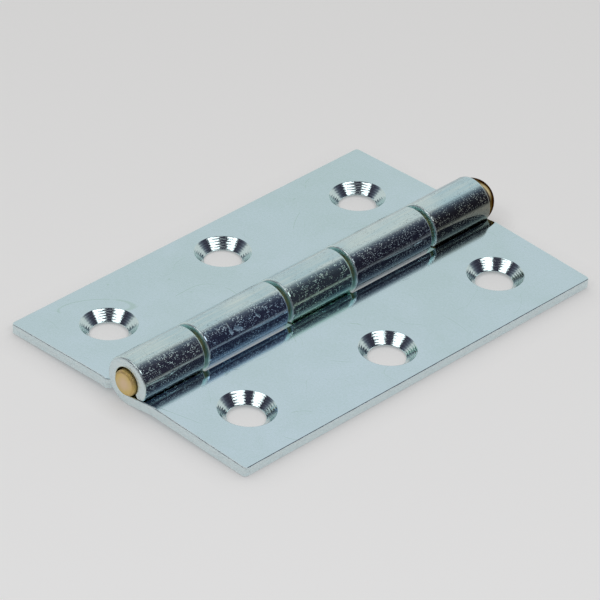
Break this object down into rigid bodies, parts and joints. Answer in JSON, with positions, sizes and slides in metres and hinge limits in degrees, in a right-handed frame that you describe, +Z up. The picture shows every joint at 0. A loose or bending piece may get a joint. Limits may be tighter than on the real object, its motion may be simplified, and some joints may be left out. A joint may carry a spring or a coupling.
{
  "type": "loose pin hinge",
  "caption": "Loose pin butt hinge with two countersunk steel leaves, rolled interlocking knuckles and a domed brass pin that lifts out.",
  "frame": {"origin": "on the table plane that the barrel and both leaves' free edges rest on, under the barrel's axis, midway between the pin's tip and the top of its head", "axes": "+Y along the pin towards its domed head, +X from the pin towards the base leaf's free edge, +Z up from the table, towards the countersunk side"},
  "size_m": [0.0506, 0.08, 0.0081],
  "materials": {
    "base_leaf_zinc": "bright zinc plate with a pale blue passivate, glossy, with fine scratches",
    "swing_leaf_zinc": "bright zinc plate with a pale blue passivate, glossy, with fine scratches",
    "pin_brass": "plain turned brass, slightly dulled"
  },
  "bodies": {
    "base": {"base_leaf": "base_leaf_zinc"},
    "swing": {"swing_leaf": "swing_leaf_zinc"},
    "pin": {"loose_pin": "pin_brass"}
  },
  "joints": [
    {"name": "leaf_swing", "type": "hinge", "parent": "base", "child": "swing", "pos_m": [0, 0, 0.00405], "axis": [0, 1, 0], "range_deg": [-85, 189]},
    {"name": "pin_slide", "type": "slide", "parent": "base", "child": "pin", "axis": [0, 1, 0], "range_m": [0, 0.077]}
  ]
}
